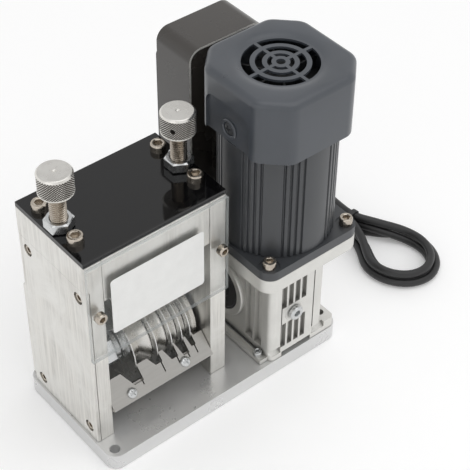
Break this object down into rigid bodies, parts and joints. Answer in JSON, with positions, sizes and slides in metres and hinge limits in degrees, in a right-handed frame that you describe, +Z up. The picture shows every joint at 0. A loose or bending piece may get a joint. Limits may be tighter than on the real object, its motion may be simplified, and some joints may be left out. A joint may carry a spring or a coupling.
{
  "type": "wire stripping machine",
  "caption": "Motor-driven bench wire stripper with a blade stack, a pressure roller set by two knobs, a worm gearbox, an upright motor and a control box.",
  "frame": {"origin": "centre of the base plate's underside", "axes": "+Z up, +X from the cutting head towards the gearbox, +Y from the outlet side towards the inlet side"},
  "size_m": [0.3954, 0.2446, 0.2709],
  "materials": {
    "ground_aluminium": "ground",
    "brushed_aluminium": "brushed",
    "turned_steel": "turned",
    "blade_steel": "polished",
    "cast_aluminium": "cast and bead blasted",
    "clear_acrylic": "clear",
    "black_gloss_panel": "gloss",
    "grey_enamel": "satin enamel",
    "black_box_cover": "satin",
    "black_rubber": "matte",
    "black_plastic": "matte",
    "wheel_bronze": "machined",
    "copper_winding": "varnished",
    "rotor_iron": "machined",
    "rocker_red": "gloss"
  },
  "bodies": {
    "frame": {"base_plate": "ground_aluminium", "left_wall": "brushed_aluminium", "left_cover": "brushed_aluminium", "right_wall": "brushed_aluminium", "top_plate": "black_gloss_panel", "front_crossbar": "brushed_aluminium", "rear_crossbar": "brushed_aluminium", "guard_panel": "clear_acrylic", "outlet_tray": "brushed_aluminium", "tray_bar": "ground_aluminium", "inlet_guide": "brushed_aluminium", "gearbox_case": "cast_aluminium", "gearbox_cover": "cast_aluminium", "output_seal": "black_rubber", "oil_plug": "turned_steel", "adapter_flange": "cast_aluminium", "motor_flange": "grey_enamel", "motor_body": "grey_enamel", "stator": "copper_winding", "fan_cowl": "grey_enamel", "box_cover": "black_box_cover", "box_plate": "black_box_cover", "box_lid": "black_box_cover", "capacitor": "black_plastic", "switch_body": "black_plastic", "cord_gland": "black_plastic", "cord_lead": "black_rubber", "cord_hank": "black_rubber", "cord_tie": "black_plastic", "plug": "black_rubber", "left_shaft_bearing": "turned_steel", "right_shaft_bearing": "turned_steel"},
    "cutter": {"cutter_shaft": "turned_steel", "blade_1": "blade_steel", "blade_2": "blade_steel", "blade_3": "blade_steel", "blade_4": "blade_steel", "blade_5": "blade_steel", "spacer_1": "ground_aluminium", "spacer_2": "ground_aluminium", "spacer_3": "ground_aluminium", "spacer_4": "ground_aluminium", "stack_nut": "turned_steel", "end_flange": "turned_steel", "worm_wheel": "wheel_bronze"},
    "carriage": {"left_block": "turned_steel", "right_block": "turned_steel", "left_roller_bearing": "turned_steel", "right_roller_bearing": "turned_steel"},
    "pressure_roller": {"feed_roller": "turned_steel"},
    "left_adjuster": {"left_knob": "ground_aluminium", "left_stud": "turned_steel"},
    "right_adjuster": {"right_knob": "ground_aluminium", "right_stud": "turned_steel"},
    "left_nut": {"left_lock_nut": "turned_steel"},
    "right_nut": {"right_lock_nut": "turned_steel"},
    "rotor": {"rotor": "rotor_iron", "worm": "turned_steel", "fan": "black_plastic"},
    "rocker": {"switch_rocker": "rocker_red"}
  },
  "joints": [
    {"name": "rotor_spin", "type": "hinge", "parent": "frame", "child": "rotor", "pos_m": [0.0655, -0.0248, 0.13], "axis": [0, 0, 1], "continuous": true},
    {"name": "cutter_spin", "type": "hinge", "parent": "frame", "child": "cutter", "pos_m": [-0.0945, 0.0053, 0.0575], "axis": [1, 0, 0], "continuous": true},
    {"name": "roller_height", "type": "slide", "parent": "frame", "child": "carriage", "axis": [0, 0, 1], "range_m": [-0.002, 0.01]},
    {"name": "feed_roller_spin", "type": "hinge", "parent": "carriage", "child": "pressure_roller", "pos_m": [-0.049, 0.0053, 0.112], "axis": [1, 0, 0], "continuous": true},
    {"name": "left_knob_turn", "type": "hinge", "parent": "carriage", "child": "left_adjuster", "pos_m": [-0.099, 0.0053, 0.226], "axis": [0, 0, 1], "range_deg": [-500, 2500]},
    {"name": "right_knob_turn", "type": "hinge", "parent": "carriage", "child": "right_adjuster", "pos_m": [0.001, 0.0053, 0.226], "axis": [0, 0, 1], "range_deg": [-500, 2500]},
    {"name": "left_lock_nut_turn", "type": "hinge", "parent": "frame", "child": "left_nut", "pos_m": [-0.099, 0.0053, 0.1936], "axis": [0, 0, 1], "range_deg": [0, 360]},
    {"name": "right_lock_nut_turn", "type": "hinge", "parent": "frame", "child": "right_nut", "pos_m": [0.001, 0.0053, 0.1936], "axis": [0, 0, 1], "range_deg": [0, 360]},
    {"name": "switch_rock", "type": "hinge", "parent": "frame", "child": "rocker", "pos_m": [0.06205, 0.07055, 0.215], "axis": [1, 0, 0], "range_deg": [-9, 9]}
  ],
  "couplings": [
    {"joint": "cutter_spin", "follows": "rotor_spin", "ratio": 0.033333},
    {"joint": "left_knob_turn", "follows": "roller_height", "rad_per_m": 4188.8},
    {"joint": "right_knob_turn", "follows": "roller_height", "rad_per_m": 4188.8}
  ]
}
